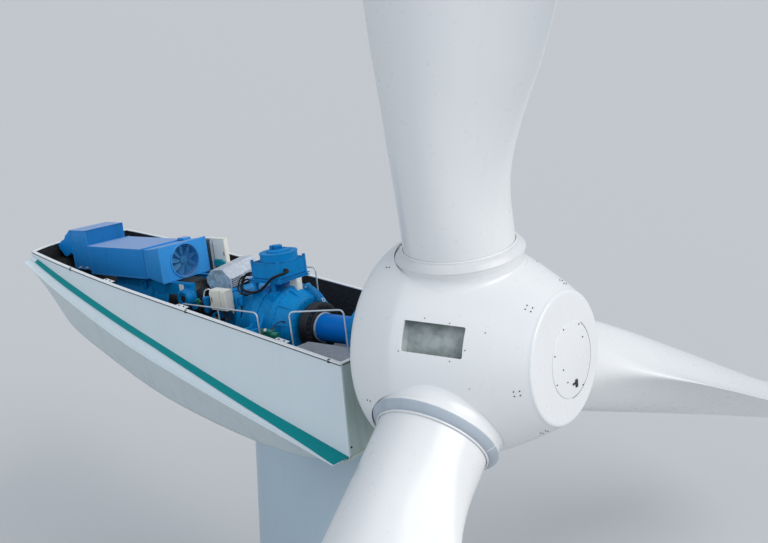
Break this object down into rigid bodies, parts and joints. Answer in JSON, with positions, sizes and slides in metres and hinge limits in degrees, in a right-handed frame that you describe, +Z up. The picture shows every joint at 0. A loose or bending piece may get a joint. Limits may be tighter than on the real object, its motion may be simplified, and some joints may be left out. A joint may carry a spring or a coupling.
{
  "type": "wind turbine nacelle",
  "caption": "Wind turbine nacelle with its roof off: hull with shaft, gearbox, generator and coolers, spinner with blade sections, and the top tower section below.",
  "frame": {"origin": "centre of the tower section's lower flange face, on the yaw axis", "axes": "+Z up the tower, +X towards the rotor in plan, +Y to the far side of the nacelle"},
  "size_m": [16.6561, 23.8216, 22.5028],
  "materials": {
    "tower_steel": "satin paint",
    "hull_shell": "gel coat, weathered",
    "rotor_shell": "gel coat",
    "blue_steel": "satin paint",
    "blue_casting": "gloss paint on cast iron",
    "grey_steel": "satin paint",
    "bare_steel": "machined",
    "galvanised": "galvanised",
    "cabinet_cream": "satin paint",
    "black_steel": "matt paint",
    "green_paint": "satin paint",
    "black_rubber": "matt"
  },
  "bodies": {
    "tower": {"tower_section": "tower_steel", "flange_platform": "grey_steel", "yaw_ring": "bare_steel"},
    "nacelle": {"generator_frame": "grey_steel", "main_bearing_housing": "blue_casting", "torque_mount_near": "black_rubber", "torque_mount_far": "black_rubber", "gearbox_case": "blue_casting", "lifting_arm": "blue_casting", "sensor_box": "cabinet_cream", "oil_cooler": "blue_steel", "oil_cooler_motor": "blue_steel", "oil_hose": "black_rubber", "generator": "blue_steel", "generator_cooler": "blue_steel", "fan_box": "blue_steel", "rear_duct": "blue_steel", "rear_hood": "blue_steel", "coupling_guard": "galvanised", "control_cabinet": "cabinet_cream", "junction_box": "cabinet_cream", "lube_pump": "green_paint", "grating_rear": "galvanised", "grating_front": "galvanised", "grating_far": "galvanised", "grating_far_rear": "galvanised", "rail_rear": "galvanised", "rail_far": "galvanised", "rail_front": "galvanised", "side_wall_near": "hull_shell", "lower_flank_near": "hull_shell", "side_wall_far": "hull_shell", "lower_flank_far": "hull_shell", "rim_strip": "hull_shell", "hull_floor": "hull_shell", "tail_wall": "hull_shell", "front_wall": "hull_shell", "main_frame": "grey_steel"},
    "rotor": {"main_shaft": "blue_casting", "shrink_disc": "black_steel", "blade_bearing_1": "bare_steel", "blade_seal_1": "black_rubber", "blade_bearing_2": "bare_steel", "blade_seal_2": "black_rubber", "blade_bearing_3": "bare_steel", "blade_seal_3": "black_rubber", "spinner": "rotor_shell", "hatch_tray": "grey_steel", "spinner_bulkhead": "rotor_shell", "nose_hatch": "rotor_shell", "hub_casting": "grey_steel"},
    "blade_1": {"blade_1": "rotor_shell"},
    "blade_2": {"blade_2": "rotor_shell"},
    "blade_3": {"blade_3": "rotor_shell"},
    "cooler_fan": {"cooler_fan": "blue_steel"}
  },
  "joints": [
    {"name": "yaw", "type": "hinge", "parent": "tower", "child": "nacelle", "pos_m": [0, 0, 6.04], "axis": [0, 0, 1], "continuous": true},
    {"name": "rotor_spin", "type": "hinge", "parent": "nacelle", "child": "rotor", "pos_m": [3.502, 0, 8.84], "axis": [0.9893, 0, 0.1461], "continuous": true},
    {"name": "cooler_fan_spin", "type": "hinge", "parent": "nacelle", "child": "cooler_fan", "pos_m": [-4.43341, 0, 8.87616], "axis": [0.9893, 0, 0.1461], "continuous": true},
    {"name": "blade_1_pitch", "type": "hinge", "parent": "rotor", "child": "blade_1", "pos_m": [3.502, 0, 8.84], "axis": [-0.0737, -0.1302, 0.9887], "range_deg": [-90, 0]},
    {"name": "blade_2_pitch", "type": "hinge", "parent": "rotor", "child": "blade_2", "pos_m": [3.502, 0, 8.84], "axis": [0.1594, -0.7913, -0.5902], "range_deg": [-90, 0]},
    {"name": "blade_3_pitch", "type": "hinge", "parent": "rotor", "child": "blade_3", "pos_m": [3.502, 0, 8.84], "axis": [0.1265, 0.9215, -0.3672], "range_deg": [-90, 0]}
  ]
}
